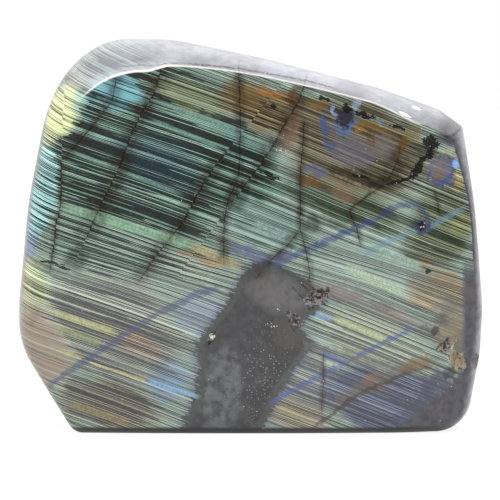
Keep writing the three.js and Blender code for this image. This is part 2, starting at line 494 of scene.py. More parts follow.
def form(name, inputs, outputs):
    """A node group with these inputs and outputs. It gives the group and its inputs."""
    made = bpy.data.node_groups.new(name, "ShaderNodeTree")
    for label in inputs:
        kind = "NodeSocketColor" if label.startswith("Colour") else "NodeSocketFloat"
        made.interface.new_socket(label, in_out="INPUT", socket_type=kind)
    for label in outputs:
        kind = "NodeSocketColor" if label.startswith("Colour") else "NodeSocketFloat"
        made.interface.new_socket(label, in_out="OUTPUT", socket_type=kind)
    return made, [Field(socket) for socket in made.nodes.new("NodeGroupInput").outputs[:-1]]


def close_form(made, *results):
    """Joins the results to the group's outputs."""
    end = made.nodes.new("NodeGroupOutput")
    for result, socket in zip(results, end.inputs):
        made.links.new(result.socket, socket)


# Lines through the stone are looked up on a scale from 0 to 1 that covers it with room to spare.
ROOM = 200
MARGIN = 75


def on_scale(size):
    """A place in millimetres as its place on that scale."""
    return (size + MARGIN) / ROOM


v_line = on_scale(z)
u_torn = on_scale(x + ragged * TEAR)

trail_form, (at, beside, course, lean, middle, outer, inner) = form(
    "trail", ["At", "Beside", "Course", "Lean", "Middle", "Outer", "Inner"], ["Gap", "Ends"]
)
along_it = abs(at - middle)
eased = {"Value": along_it, "From Min": inner, "From Max": outer, "To Min": 1.0, "To Max": 0.0}
ends = at.node("ShaderNodeMapRange", {"interpolation_type": "SMOOTHSTEP"}, eased)
close_form(trail_form, (beside - course) * lean, ends)


def trail(run, at, beside, fade=2.0):
    """How far a place lies beside a line through given places, and 1 between the line's two ends.

    The first number of each of the line's places is read along at, the second along beside."""
    start, end = run[0], run[-1]
    lean = (end[0] - start[0]) / math.dist(start, end)
    points = [(on_scale(a), on_scale(b)) for a, b in run]
    course = at.node("ShaderNodeFloatCurve", {"line": points}, {"Value": at})
    middle = on_scale((start[0] + end[0]) / 2)
    half = (end[0] - start[0]) / 2
    inputs = {"At": at, "Beside": beside, "Course": course, "Lean": ROOM * lean, "Middle": middle}
    inputs |= {"Outer": (half + fade) / ROOM, "Inner": (half - fade) / ROOM}
    gap = at.node("ShaderNodeGroup", {"node_tree": trail_form}, inputs)
    return gap, gap.beside(1)


RULERS = ["X", "Z", "Run X", "Run Z", "Run Start", "Height X", "Height Z", "Height Start"]


def measured(x, z, run_x, run_z, run_start, height_x, height_z, height_start):
    """How far a place lies from a middle along two headings, in lots of the half sizes."""
    run = x.node("ShaderNodeMath", {"operation": "MULTIPLY_ADD"}, {0: x, 1: run_x, 2: run_start})
    run = x.node("ShaderNodeMath", {"operation": "MULTIPLY_ADD"}, {0: z, 1: run_z, 2: run})
    height = x.node("ShaderNodeMath", {"operation": "MULTIPLY_ADD"}, {0: x, 1: height_x, 2: height_start})
    height = x.node("ShaderNodeMath", {"operation": "MULTIPLY_ADD"}, {0: z, 1: height_z, 2: height})
    return run, height


def rulers(where, x_mid, z_mid, x_half, z_half, heading):
    """The settings with which measured finds those two ways."""
    values = list(where)
    for turn, size in ((heading, x_half), (heading + math.pi / 2, z_half)):
        step = (math.cos(turn) / size, math.sin(turn) / size)
        values += [*step, -(x_mid * step[0] + z_mid * step[1])]
    return dict(zip(RULERS, values))


oval_form, (*ruler, inner) = form("oval", [*RULERS, "Inner"], ["Share"])
run, height = measured(*ruler)
close_form(oval_form, (run * run + height * height).rise(1.0, inner))

tint_form, (*ruler, inner, strength, light, grit, base, shade) = form(
    "tinted oval", [*RULERS, "Inner", "Strength", "Light", "Grit", "Colour", "Colour of it"], ["Colour"]
)
run, height = measured(*ruler)
amount = (run * run + height * height + grit).rise(1.0, inner) * strength
close_form(tint_form, amount.between(base, shade.shade(light)))

ROD_END = 1.15
rod_form, ruler = form("rod", RULERS, ["Share"])
run, height = measured(*ruler)
close_form(rod_form, abs(run).rise(ROD_END, 0.75) * abs(height).rise(ROD_END, 0.8))


def patch(where, x_mid, z_mid, x_half, z_half, turn, soft):
    """1 in the middle of an oval patch, fading over the outer share of its size that soft gives."""
    inputs = rulers(where, x_mid, z_mid, x_half, z_half, math.radians(turn))
    return x.node("ShaderNodeGroup", {"node_tree": oval_form}, inputs | {"Inner": (1.0 - soft) ** 2})


def tinted(base, where, x_mid, z_mid, x_half, z_half, turn, soft, shade, strength, light=1.0, grit=0.0):
    """The base colour with an oval patch of a shade over it, in more or less light, and crumbled by grit."""
    inputs = rulers(where, x_mid, z_mid, x_half, z_half, math.radians(turn))
    inputs |= {"Inner": (1.0 - soft) ** 2, "Strength": strength, "Light": light, "Grit": grit}
    inputs |= {"Colour": base, "Colour of it": shade}
    return x.node("ShaderNodeGroup", {"node_tree": tint_form}, inputs)


TRACE = 1e-6


def after(base, *fields):
    """The same fields, worked out only after the base colour: a shader holds few numbers at a time."""
    late = base.split()[0] * TRACE
    return [field + late for field in fields]


def follow(base):
    """Where on the face a point lies, worked out only after the base colour."""
    return after(base, x, z)


def blurred(where, amount, jitter=0.0):
    """A place moved about by the ragged noise and, where jitter is given, by the slow drift."""
    x_at, z_at = where
    if jitter:
        return (
            x_at + (drift_x - 0.5) * jitter + ragged * amount,
            z_at + (drift_z - 0.5) * jitter + ragged * amount,
        )
    return x_at + ragged * amount, z_at + ragged * amount


# Old cracks, each as places (x, z) from its foot to its head, its width and the width of its stain.
CRACKS = {
    "flank": ([(-60.3, 49.4), (-58.8, 58.4), (-58.5, 63), (-57, 69), (-56.7, 82.5)], 0.26, 0.9),
    "shoulder": ([(-56.5, 82.5), (-51, 88.5), (-46, 94.5), (-41.5, 100.5), (-40, 108)], 0.22, 1.8),
    "left": (
        [(-49.5, 59), (-45.5, 68), (-39.5, 80), (-35.5, 91), (-33, 96), (-29, 102.5), (-26, 112)],
        0.26,
        3.2,
    ),
    "middle": (
        [(-33.5, 46.5), (-27, 56), (-20, 64), (-17.5, 69.5), (-14, 75.5), (-11, 80.5), (-6.5, 86)],
        0.3,
        2.6,
    ),
    "upright": ([(-8, 52), (-8, 64), (-6.5, 71), (-3.5, 78), (-3, 92.5), (-3.5, 112)], 0.22, 1.6),
    "crown": ([(-2, 74.5), (2.5, 80.5), (6.5, 86.5), (11, 94.5), (14.5, 100), (17, 108)], 0.32, 2.6),
    "centre": ([(18, 43.5), (17.5, 52), (15, 62), (15, 79), (16, 89), (16, 94.5)], 0.2, 1.2),
    "fork": ([(1.5, 46.5), (3.5, 49.5), (7, 53.5), (11, 57), (15, 62)], 0.2, 1.8),
    "right": ([(33, 57.5), (32, 62), (29.5, 67.5), (34.5, 71.5), (42, 76.5)], 0.2, 1.0),
    "brown": ([(39.5, 75), (42, 78), (44, 82), (45, 86.5)], 0.2, 2.8),
    "edge": ([(57, 66), (56.5, 68.5), (55.5, 73)], 0.16, 0.8),
    "foot": ([(21.5, 7), (22, 17), (22, 24)], 0.16, 0.8),
}
# How far the sheets are shifted, in quarters of a millimetre, where these four cross them.
SHIFTS = {"flank": 3.2, "left": 2.9, "middle": 3.5, "crown": 3.2}
crack = stain = blocks = None
for name, (run, width, spread) in CRACKS.items():
    gap, ends = trail([(b, a) for a, b in sorted(run, key=lambda end: end[1])], v_line, u_torn)
    if name in SHIFTS:
        side = gap.rise(-0.1, 0.1) * SHIFTS[name]
        blocks = blocks + side if blocks else side
    gap = abs(gap)
    line = gap.rise(width * 1.3, width * 0.3) * ends
    cloud = gap.rise(spread * 1.8, 0) * ends
    crack = crack.over(line) if crack else line
    stain = stain.over(cloud) if stain else cloud
blocks = blocks * z.rise(42, 58)

# Sheets of the crystal. They slope down to the right, a little more steeply on the right, and lean
# back into the stone. One way is counted across them and the other along them.
FALL = 0.378
STEEPER = 0.00029
LEAN = 0.12
FACE_FORWARD = 21
BEND = 2.5
SHIFT_UNIT = 0.25
bend = place.grain(0.016, 1.0) - 0.5
across = z + x * FALL + x * x * STEEPER - (y + FACE_FORWARD) * LEAN + bend * BEND + blocks * SHIFT_UNIT
along = x * 0.94 - z * 0.34

# Fine streaks that run with the sheets.
SLOPE = math.radians(21)
grained = {"Vector": place, "Rotation": (0, SLOPE, 0), "Scale": (4.0, 4.0, 0.45)}
brushed = place.node("ShaderNodeMapping", {"vector_type": "TEXTURE"}, grained).grain(1.0, 3.0, 0.6)

FAR_APART = 900


def sheets(thickness, start, length):
    """Which sheets flash first, from 0 to 1, two more random numbers for each, and the way to its core."""
    layer = across / thickness + start
    settings = {"voronoi_dimensions": "1D"}
    cell = layer.node("ShaderNodeTexVoronoi", settings, {"W": layer, "Randomness": 0.85}, "Color")
    order, second, third = cell.split()
    inputs = {"W": order * FAR_APART + along / length, "Scale": 1.0, "Detail": 2.0, "Roughness": 0.6}
    ends = order.node("ShaderNodeTexNoise", {"noise_dimensions": "1D"}, inputs)
    return order * 0.76 + ends * 0.8 - 0.28, second, third, cell.beside("Distance")


# Plain rock lies between the flashing blocks: where it starts on the left and on the right, as
# heights and places across. Its border flashes less, and blue.
PLAIN_LEFT = [(2.5, -18), (12, -14), (19.5, -13), (27, -13.5), (31.5, -11), (38, -5.5), (48, 0), (52, 3.5)]
PLAIN_RIGHT = [(0.5, 0), (5, 3), (12, 6), (22, 12.5), (27, 16.5), (33, 12.5), (40.5, 20.5), (46.5, 15)]
PLAIN_RIGHT += [(52, 4.5)]
left_gap, _ = trail(PLAIN_LEFT, v_line, u_torn)
right_gap, _ = trail(PLAIN_RIGHT, v_line, u_torn)
fringe = (torn - 0.5) * 2.5 + ragged * 2.5
inside = (left_gap + fringe).rise(-0.5, 0.5) * (right_gap - fringe).rise(0.5, -0.5)
inside = inside * (z + fringe * 2).rise(54, 46)
border = (left_gap + fringe).rise(-5.5, -0.5) * (right_gap - fringe).rise(5.5, 0.5) * z.rise(56, 50)

# The stone's regions: middle x and z, half sizes, turn and softness, the colour of the flash there, the
# colour of the sheets that stay dark, and then the share of sheets that flash, how much of each
# flashes, and how far they gather into groups.
REGIONS = {
    "upper left": (-32, 86, 40, 32, -20, 0.4, (146, 190, 172), (44, 50, 49), (0.45, 0.22, 0.9)),
    "teal shade": (-28, 82, 18, 9, -20, 0.9, (128, 168, 168), (40, 54, 60), (0.42, 0.2, 0.9)),
    "upper middle": (-4, 80, 15, 17, -20, 0.6, (128, 170, 158), (36, 43, 38), (0.5, 0.24, 0.8)),
    "middle left": (-38, 57, 30, 12, -19, 0.5, (180, 210, 192), (52, 60, 56), (0.58, 0.2, 0.5)),
    "lower left": (-42, 32, 27, 17, -19, 0.4, (206, 212, 190), (60, 63, 65), (0.56, 0.15, 0.3)),
    "foot": (-42, 9, 18, 9, -20, 0.6, (176, 164, 130), (56, 55, 54), (0.52, 0.16, 0.3)),
    "left flank foot": (-63.5, 27, 9, 18, 20, 0.5, (146, 130, 112), (88, 80, 72), (0.8, 0.5, 0.3)),
    "centre": (4, 63, 19, 11, -20, 0.6, (148, 176, 168), (58, 76, 71), (0.66, 0.3, 0.5)),
    "right": (38, 53, 25, 15, -22, 0.5, (162, 186, 174), (84, 94, 90), (0.66, 0.3, 0.5)),
    "right end": (57, 62, 11, 17, -22, 0.5, (130, 142, 108), (46, 54, 42), (0.56, 0.22, 0.4)),
    "right brown": (57, 42, 12, 8, -22, 0.6, (150, 140, 108), (70, 67, 56), (0.62, 0.28, 0.4)),
    "middle right": (37, 30, 20, 9, -22, 0.5, (208, 220, 186), (80, 88, 86), (0.58, 0.2, 0.5)),
    "lower right": (20, 15, 18, 10, -22, 0.5, (160, 164, 158), (68, 72, 74), (0.66, 0.18, 0.3)),
    "lower foot": (14, 6, 14, 6, -22, 0.5, (178, 168, 148), (70, 66, 60), (0.66, 0.2, 0.3)),
    "blue foot": (42, 10, 24, 12, -15, 0.4, (112, 124, 158), (50, 53, 64), (0.6, 0.16, 0.4)),
    "green crown": (-17, 101, 17, 6, -20, 0.6, (128, 144, 108), (62, 66, 50), (0.66, 0.34, 0.5)),
    "gold crown": (5, 98.5, 18, 9, -16, 0.5, (130, 110, 70), (54, 47, 32), (0.56, 0.3, 0.6)),
    "right crown": (32, 86, 27, 18, -22, 0.4, (110, 98, 72), (60, 54, 40), (0.58, 0.32, 0.6)),
    "under crown": (28, 69, 24, 6.5, -22, 0.6, (122, 142, 114), (50, 60, 48), (0.52, 0.2, 0.6)),
    "shoulder": (-41, 104, 12, 7, -24, 0.6, (112, 178, 190), (40, 52, 54), (0.66, 0.4, 0.5)),
    "yellow flank": (-57, 97, 8, 14, -24, 0.5, (236, 246, 180), (76, 78, 56), (0.72, 0.46, 0.4)),
    "blue flank": (-63.5, 72, 6.5, 17, -10, 0.4, (186, 248, 248), (24, 38, 36), (0.63, 0.32, 0.4)),
    "green flank": (-65, 45, 7, 11, 0, 0.6, (214, 224, 178), (56, 56, 44), (0.68, 0.3, 0.4)),
}
REGION_BLUR = (1.5, 12.0)
drifted = blurred((x, z), *REGION_BLUR)
flash = tone(150, 176, 160)
ground = tone(62, 66, 62)
habit = (0.7, 0.3, 0.5, 1.0)
for *shape_of_region, bright_colour, dark_colour, traits in REGIONS.values():
    mask = patch(drifted, *shape_of_region)
    flash = mask.between(flash, tone(*bright_colour))
    ground = mask.between(ground, tone(*dark_colour))
    habit = mask.between(habit, (*traits, 1.0))
share, breadth, gathering = habit.split()

# Smaller tints of the flash: middle x and z, half sizes, turn, colour and strength.
TINTS = [
    (-35, 28, 11, 6, -20, (226, 176, 130), 0.8),
    (-47, 33, 12, 5, -20, (210, 208, 140), 0.7),
    (-24, 16, 9, 11, -10, (118, 160, 200), 0.85),
    (-20, 50, 10, 4.5, -20, (214, 228, 208), 0.7),
    (-15, 37, 9, 7, 0, (150, 164, 200), 0.7),
    (-68, 46, 2.6, 7, 0, (234, 172, 108), 0.8),
    (-66, 57, 4, 4.5, 0, (110, 130, 212), 0.6),
    (-52, 108, 8, 5, -30, (200, 206, 196), 0.8),
    (-49, 100, 5, 7, -24, (120, 190, 196), 0.7),
    (-14, 53, 8, 2.8, -16, (222, 176, 120), 0.9),
    (62.5, 76, 2.4, 4, 0, (228, 200, 120), 0.9),
    (54, 51.5, 3, 2, -20, (200, 150, 104), 0.6),
    (60, 46, 6, 4, -20, (166, 140, 96), 0.6),
    (51, 40, 5, 2.4, -22, (206, 158, 110), 0.55),
    (38, 15.5, 5, 2, -20, (190, 136, 100), 0.7),
    (9, 76, 10, 4, -20, (112, 162, 152), 0.8),
    (62, 64, 5, 6, -20, (184, 186, 118), 0.6),
    (14, 7, 9, 5, -20, (186, 176, 120), 0.7),
    (33, 25, 8, 4, -20, (196, 206, 140), 0.5),
    (-26, 101, 6, 4, -20, (150, 164, 112), 0.6),
    (-4, 86, 5, 10, 0, (116, 168, 176), 0.4),
    (44, 36, 5, 3, -20, (190, 150, 130), 0.5),
]
drifted = blurred(follow(habit), *REGION_BLUR)
TINT_SOFT = 0.9
BORDER_BLUE = tone(112, 134, 190)
for *shape_of_tint, tint_colour, strength in TINTS:
    flash = tinted(flash, drifted, *shape_of_tint, TINT_SOFT, tone(*tint_colour), strength)
flash = (border * 0.8).between(flash, BORDER_BLUE)

# The stripes: sheets and finer sheets, gathered in bundles. Each has a thickness, a start for its
# count, and the length over which one sheet keeps its flash.
BUNDLE = (3.8, 11.0, 60.0)
SHEET = (1.45, 3.0, 45.0)
FINE_SHEET = (0.85, 57.0, 30.0)
PALE_FLASH = tone(204, 208, 196)
bundle, _, _, _ = sheets(*BUNDLE)
lit_share = (share + (bundle - 0.5) * gathering) * border.rise(1.05, 0.3)
order, bright, hue, core = sheets(*SHEET)
breadth = breadth + (bright - 0.5) * 0.3
lit = (lit_share - order).rise(-0.02, 0.05) * (breadth - core).rise(-0.06, 0.06) * (bright * 0.5 + 0.7)
order, fine_bright, _, core = sheets(*FINE_SHEET)
fine = (lit_share * 0.75 - order).rise(-0.02, 0.05) * (breadth + 0.06 - core).rise(-0.1, 0.1)
lit = lit.over(fine * (fine_bright * 0.6 + 0.1) * share.rise(0.48, 0.64))
lit = lit * (1.0 - border * 0.5)
ground = ground.shade(brushed * 0.5 + torn * 1.2 + mottled * 0.6 - 0.15)
pale = (hue * 0.3).between(flash, PALE_FLASH)
striped = ground.blend(pale.shade(brushed * 0.5 + 0.75), lit)

# Broad single sheets that flash from end to end: the two ends of the middle line, half thickness,
# and colour. Fine veins cross them.
BROAD = [
    (-56.5, 68.8, -17.5, 57, 1.5, (154, 194, 162)),
    (-17.5, 57, -3, 50.5, 1.3, (176, 170, 130)),
    (-28.5, 100.5, -3, 91, 0.7, (112, 150, 138)),
    (-29.5, 94.5, -9, 86.5, 0.7, (112, 150, 138)),
    (-54.5, 85.5, -21, 72.5, 0.6, (124, 158, 142)),
    (-59.5, 37, -41, 31, 0.9, (186, 190, 136)),
    (-59.5, 32.5, -45, 27.5, 1.0, (144, 152, 108)),
    (-57.5, 25.5, -49.5, 22.5, 0.7, (176, 174, 126)),
    (-48, 21.5, -31, 16.2, 0.5, (186, 172, 122)),
    (-31, 16.2, -15.5, 11.3, 0.7, (140, 180, 216)),
    (-54.5, 9.2, -37, 3.4, 1.2, (136, 122, 88)),
    (28.5, 50.5, 46, 42.8, 1.4, (172, 196, 164)),
    (38, 55.5, 51.5, 50.4, 1.1, (156, 184, 166)),
    (25, 35.2, 41, 28.6, 1.1, (190, 198, 150)),
    (19.5, 36.4, 24.5, 34.9, 0.9, (140, 170, 206)),
    (1, 63.5, 14, 58.5, 1.6, (146, 170, 164)),
    (22, 21.8, 27, 20.2, 0.8, (172, 196, 176)),
]
latticed = {"Vector": place, "Rotation": (0, SLOPE - 0.15, 0), "Scale": (1.1, 1.1, 2.4)}
lattice = place.node("ShaderNodeMapping", {"vector_type": "TEXTURE"}, latticed)
inputs = {"Vector": lattice, "Scale": 1.0}
veins = place.node("ShaderNodeTexVoronoi", {"feature": "DISTANCE_TO_EDGE"}, inputs)
BROAD_BLUR = 0.3
BROAD_STRENGTH = 0.65
veil = None
straight = blurred(follow(striped), BROAD_BLUR)
for x_a, z_a, x_b, z_b, thick, sheet_colour in BROAD:
    half_length = math.dist((x_a, z_a), (x_b, z_b)) / 2
    heading = math.atan2(z_b - z_a, x_b - x_a)
    inputs = rulers(straight, (x_a + x_b) / 2, (z_a + z_b) / 2, half_length, thick, heading)
    mask = x.node("ShaderNodeGroup", {"node_tree": rod_form}, inputs)
    striped = (mask * BROAD_STRENGTH).between(striped, tone(*sheet_colour))
    veil = veil.over(mask) if veil else mask
striped = striped.shade(1.0 - veil * (1.0 - veins.rise(0.0, 0.16)) * 0.25 + veil * (brushed - 0.5) * 0.4)

# Tiny flecks of other minerals lie all through the stone.
flecks = place.node("ShaderNodeTexVoronoi", {}, {"Vector": place, "Scale": 1.5}, "Color")
chance, fleck_tone, _ = flecks.split()
near = flecks.beside("Distance")
spark = chance.rise(0.995, 0.996) * near.rise(0.26, 0.1)

# Bands across the sheets, where later growth filled old openings: places along each from left to
# right, half width, colour and strength. Most are slate blue, and the last four brown and grey.
BAND_TEAR = 3.0
BANDS = [
    (
        [(-61, 14.5), (-49.5, 22.5), (-37.5, 30.5), (-28, 36.5), (-16, 42.5), (-10, 44)],
        1.0,
        (64, 74, 100),
        0.85,
    ),
    ([(8, 51), (13, 54), (20, 57), (30, 61.5), (38, 65)], 1.0, (56, 68, 116), 0.8),
    ([(38, 65), (41.5, 67.6), (45, 69.3), (49, 69.5), (52, 67.6), (54.5, 63.5)], 1.0, (56, 62, 102), 0.75),
    ([(6, 9.5), (18.5, 16.5), (28.5, 21.5), (38.5, 27), (48.5, 31.8)], 0.7, (68, 84, 138), 0.8),
    ([(34, 54.5), (40, 57.5), (47, 60.5), (53, 62), (60, 66), (64, 68)], 0.9, (104, 138, 158), 0.6),
    ([(26, 9), (33, 14), (42, 18), (50, 21), (57, 22)], 2.0, (98, 84, 60), 0.6),
    (
        [(19.5, 2.5), (25, 6.4), (30, 10.5), (35.5, 13.5), (42, 16.2), (48, 19.2), (54, 20.5)],
        0.7,
        (54, 45, 36),
        0.85,
    ),
    ([(17, 45), (24, 43.5), (31, 41.5), (38, 38.5), (46, 35), (56, 32)], 1.7, (116, 108, 107), 0.7),
    ([(14, 27.5), (21, 26), (28, 23.8), (35, 21.8), (42, 20.5)], 1.4, (86, 84, 86), 0.85),
]
colour = striped
x_late, z_late = follow(striped)
u_line = on_scale(x_late)
v_torn = on_scale(z_late + ragged * BAND_TEAR)
for run, half_width, shade, strength in BANDS:
    gap, ends = trail(run, u_line, v_torn)
    mask = (abs(gap) + (torn - 0.5) * half_width).rise(half_width * 1.5, half_width * 0.4)
    mask = mask * ends * (cloudy * 0.9 + 0.45 - lit * 0.15)
    colour = (mask * strength).between(colour, tone(*shade))

# The dull rock between the blocks: dark grey with paler clouds, a brown one and bright crumbs.
drifted = blurred(follow(colour), *REGION_BLUR)
rock = cloudy.rise(0.35, 0.7).between(tone(44, 44, 47), tone(60, 60, 62))
rock = rock.blend(tone(98, 99, 102), patch(drifted, -9, 15, 8, 18, -10, 0.7) * cloudy.rise(0.25, 0.7))
rock = rock.blend(tone(92, 90, 90), patch(drifted, 8, 43, 13, 8, -20, 0.7) * mottled.rise(0.05, 0.6))
rock = rock.blend(tone(66, 62, 58), patch(drifted, 12, 30, 6, 7, 0, 0.9))
crumb = chance.rise(0.4, 0.44) * near.rise(0.42, 0.15) * fleck_tone
rock = rock.blend(tone(140, 136, 126), crumb * patch(drifted, 4, 18, 13, 20, 0, 0.7))
colour = colour.blend(rock, inside)

# Smaller tinted places: middle x and z, half sizes, turn, softness, colour and strength.
PLACES = [
    (6, 103, 6.5, 2, -15, 0.8, (146, 104, 52), 0.9),
    (-2, 101, 8, 4, -15, 0.9, (116, 96, 60), 0.7),
    (11.5, 91, 3.6, 7, -12, 0.6, (120, 98, 80), 0.85),
    (13.5, 102, 2.4, 4, -5, 0.7, (98, 66, 38), 0.8),
    (20, 99.5, 5, 2.2, -15, 0.8, (116, 92, 52), 0.8),
    (36, 93, 9, 2.2, -20, 0.7, (124, 98, 52), 0.85),
    (30, 85.5, 9, 5, -20, 0.5, (104, 102, 108), 0.9),
    (39.5, 86, 5, 4.5, -25, 0.5, (110, 104, 98), 0.85),
    (35.5, 89.5, 1, 4, 20, 0.7, (92, 72, 40), 0.7),
    (45.5, 87, 1.6, 6, -22, 0.7, (104, 80, 44), 0.8),
    (49, 90, 4, 3, -25, 0.7, (112, 102, 70), 0.8),
    (22.3, 92.5, 1.9, 4.5, 4, 0.6, (74, 88, 124), 0.85),
    (24.3, 87.5, 1.6, 2.4, 25, 0.7, (70, 88, 122), 0.8),
    (28.7, 93.8, 4.4, 5.0, -25, 0.5, (82, 108, 146), 0.9),
    (28.4, 95.2, 3.3, 4.4, -25, 0.4, (50, 48, 58), 0.95),
    (32.5, 91.8, 2.2, 1.4, -30, 0.6, (134, 104, 54), 0.9),
    (37, 94.2, 5, 0.9, -22, 0.7, (98, 132, 140), 0.8),
    (25.2, 97.4, 0.9, 2.4, 15, 0.5, (130, 156, 196), 0.9),
    (31.8, 99.2, 1.8, 2.0, 0, 0.6, (140, 158, 172), 0.8),
    (18.5, 76.2, 5, 1.8, -15, 0.6, (112, 84, 50), 0.8),
    (20, 79.8, 4.6, 2.6, -22, 0.5, (92, 94, 112), 0.85),
    (32, 77.5, 11, 2.6, -20, 0.7, (58, 52, 38), 0.8),
    (28, 72.5, 7, 3, -25, 0.8, (140, 116, 88), 0.65),
    (58, 79.5, 6.6, 6.6, -15, 0.4, (126, 112, 78), 0.85),
    (57.8, 79.2, 5.4, 5.6, -15, 0.4, (62, 82, 130), 0.9),
    (57.2, 79.8, 3.8, 3.8, -15, 0.4, (112, 108, 114), 0.95),
    (56.5, 78.6, 1.2, 3.4, 0, 0.7, (128, 106, 70), 0.7),
    (62, 81.4, 1.7, 1.6, -20, 0.5, (140, 178, 226), 0.95),
    (60.5, 85.5, 2.6, 1.2, 20, 0.6, (158, 160, 140), 0.8),
    (51.6, 62.8, 3.2, 3.4, 0, 0.6, (54, 60, 92), 0.85),
    (0, 54.5, 9, 2.6, -15, 0.7, (104, 110, 140), 0.8),
    (9, 53, 6, 3, 35, 0.7, (98, 100, 126), 0.8),
    (28, 43, 7, 3.2, -14, 0.6, (126, 117, 116), 0.9),
    (40, 38.5, 7, 1.6, -20, 0.8, (104, 98, 98), 0.7),
    (60, 37.5, 6, 4.5, -20, 0.7, (96, 95, 90), 0.75),
    (61, 30.5, 7, 7.5, 0, 0.45, (122, 113, 92), 0.95),
    (64, 27, 3, 5, 0, 0.6, (104, 98, 86), 0.8),
    (54, 31.5, 4, 1.8, -20, 0.8, (82, 82, 90), 0.8),
    (57.5, 34.3, 3.2, 2, -20, 0.7, (84, 82, 78), 0.8),
    (25, 23.6, 5, 1.2, -20, 0.8, (88, 104, 156), 0.7),
    (36.5, 17.2, 3.4, 1.2, 20, 0.95, (132, 102, 78), 0.55),
    (50, 21.3, 6.5, 2.4, 18, 0.9, (118, 100, 66), 0.8),
    (56, 14.5, 9.5, 4.8, 50, 0.7, (70, 74, 92), 0.9),
    (49, 6, 9, 4, 30, 0.8, (70, 73, 92), 0.75),
    (61.5, 22.3, 3.6, 2.2, 20, 0.5, (176, 166, 134), 0.95),
    (60.5, 18.6, 3, 1.6, 30, 0.7, (52, 50, 50), 0.8),
    (55.8, 31.3, 1.3, 1.3, 0, 0.5, (52, 49, 46), 0.9),
]
PLACES_AT_ONCE = 12
PLACE_BLUR = (4.5, 3.0)
relief = lit * 0.4 + brushed * 0.5 + mottled * 0.4 + 0.3
grit = (torn - 0.5) * 1.5 + (mottled - 0.5) * 1.4
for number, (*shape_of_place, shade, strength) in enumerate(PLACES):
    if number % PLACES_AT_ONCE == 0:
        loose = blurred(follow(colour), *PLACE_BLUR)
    colour = tinted(colour, loose, *shape_of_place, tone(*shade), strength, relief, grit)

# From here on these fields are worked out afresh, so that the shader need not hold them all along.
x, z, ragged, torn, cloudy, chance, near, fleck_tone = after(
    colour, x, z, ragged, torn, cloudy, chance, near, fleck_tone
)

# Smoky places, middle x and z, half sizes, turn and strength, and soot-black inclusions with
# glittering flecks, middle x and z, half sizes and turn.
SMOKE = [
    (-4.5, 73, 5, 6, -30, 0.7),
    (-38, 80, 3, 9, -20, 0.4),
    (-32, 99, 3, 5, -25, 0.6),
    (-53, 53, 5, 5, -40, 0.8),
    (3, 86, 6, 6, 0, 0.3),
    (18, 63, 5, 4, 0, 0.8),
    (40, 75, 8, 3, -10, 0.8),
    (53, 86, 4, 7, -30, 0.8),
]
SOOT = [
    (22, 101, 3.0, 0.9, -16),
    (34.5, 96, 4.4, 1.1, -20),
    (29, 98, 1.6, 2.4, 30),
    (44.3, 92.3, 3.4, 0.9, -22),
    (54.3, 88, 3.4, 2.4, -20),
    (54, 84.5, 1.6, 2.2, -10),
    (50.4, 80.5, 1.7, 5.2, -28),
    (45, 76.5, 6, 0.8, 14),
    (6, 78, 4.6, 0.8, -22),
    (7, 98.8, 1.2, 0.8, -20),
    (33.5, 77.6, 4, 0.6, -14),
    (51.6, 63, 1.5, 1.5, 0),
    (53.3, 49.2, 1.2, 0.9, 0),
    (-60, 51.8, 5, 0.5, -8),
    (-56.5, 50.4, 3, 0.5, -14),
]
SMOKE_BROWN = tone(26, 26, 20)
SOOT_BLACK = tone(16, 16, 16)
GLINT = tone(190, 186, 172)
CRUMB_BLUR = 2.2
CRUMB_SOFT = 0.9
where = follow(colour)
drifted = blurred(where, *REGION_BLUR)
loose = blurred(where, CRUMB_BLUR)
smoke = largest(patch(drifted, *shape_of_smoke, CRUMB_SOFT) * strength for *shape_of_smoke, strength in SMOKE)
soot = largest(patch(loose, *shape_of_soot, CRUMB_SOFT) for shape_of_soot in SOOT)
colour = colour.blend(SMOKE_BROWN, smoke * (cloudy * 0.9 + 0.3))
soot = (soot * 1.5 + (torn - 0.5) * 1.5 - chance).rise(0.0, 0.25) * soot.rise(0.0, 0.15)
colour = colour.blend(SOOT_BLACK, soot * 0.92)
# Painted glints: pale flecks in the soot standing for tiny reflections.
glint = chance.rise(0.75, 0.8) * near.rise(0.26, 0.1)
colour = colour.blend(GLINT, glint * soot)

# The cracks and the stains beside them.
STAIN_BROWN = tone(40, 32, 22)
CRACK_BROWN = tone(26, 21, 15)
colour = colour.blend(STAIN_BROWN, stain * (cloudy * 1.7 - 0.3))
cleft = crack * (torn.rise(0.38, 0.52) * 0.6 + 0.12)
colour = colour.blend(CRACK_BROWN, cleft)

# These fields again, for the same reason.
x, z, ragged, torn, cloudy, mottled, brushed, broad_cloud, sideways, rearward, upward = after(
    colour, x, z, ragged, torn, cloudy, mottled, brushed, broad_cloud, sideways, rearward, upward
)
u_line = on_scale(x)
v_line = on_scale(z)
u_torn = on_scale(x + ragged * TEAR)
v_torn = on_scale(z + ragged * TEAR)

# Ground away from the growth planes, the bevel of the crown shows grey stone with a dark seam. Its grey is
# partly painted sheen, paler than the stone's own body, and palest where it faces straight up, a painted
# highlight from overhead.
SEAM = [(-40, 110.5), (-20, 111.6), (-3, 110), (15, 106.8), (25, 104.2)]
SEAM_GREY = tone(62, 62, 66)
CLEFT_GREY = tone(40, 36, 32)
bevel_grey_and_sheen = broad_cloud.rise(0.35, 0.65).between(tone(110, 109, 116), tone(138, 139, 147))
# Painted highlight: paler where the bevel faces straight up.
bevel_grey_and_sheen = bevel_grey_and_sheen.shade(mottled * 0.8 + brushed * 0.4 + 0.5 + upward.rise(0.8, 1.0) * 0.35)
bevel_grey_and_sheen = bevel_grey_and_sheen.blend(striped, x.rise(-20, -46) * 0.5)
seam, seam_ends = trail(SEAM, u_line, v_torn)
bevel_grey_and_sheen = bevel_grey_and_sheen.blend(SEAM_GREY, abs(seam).rise(0.4, 0.05) * seam_ends * torn.rise(0.3, 0.5))
bevel_grey_and_sheen = bevel_grey_and_sheen.blend(CLEFT_GREY, cleft * 0.8)
colour = colour.blend(bevel_grey_and_sheen, upward.rise(0.42, 0.56))
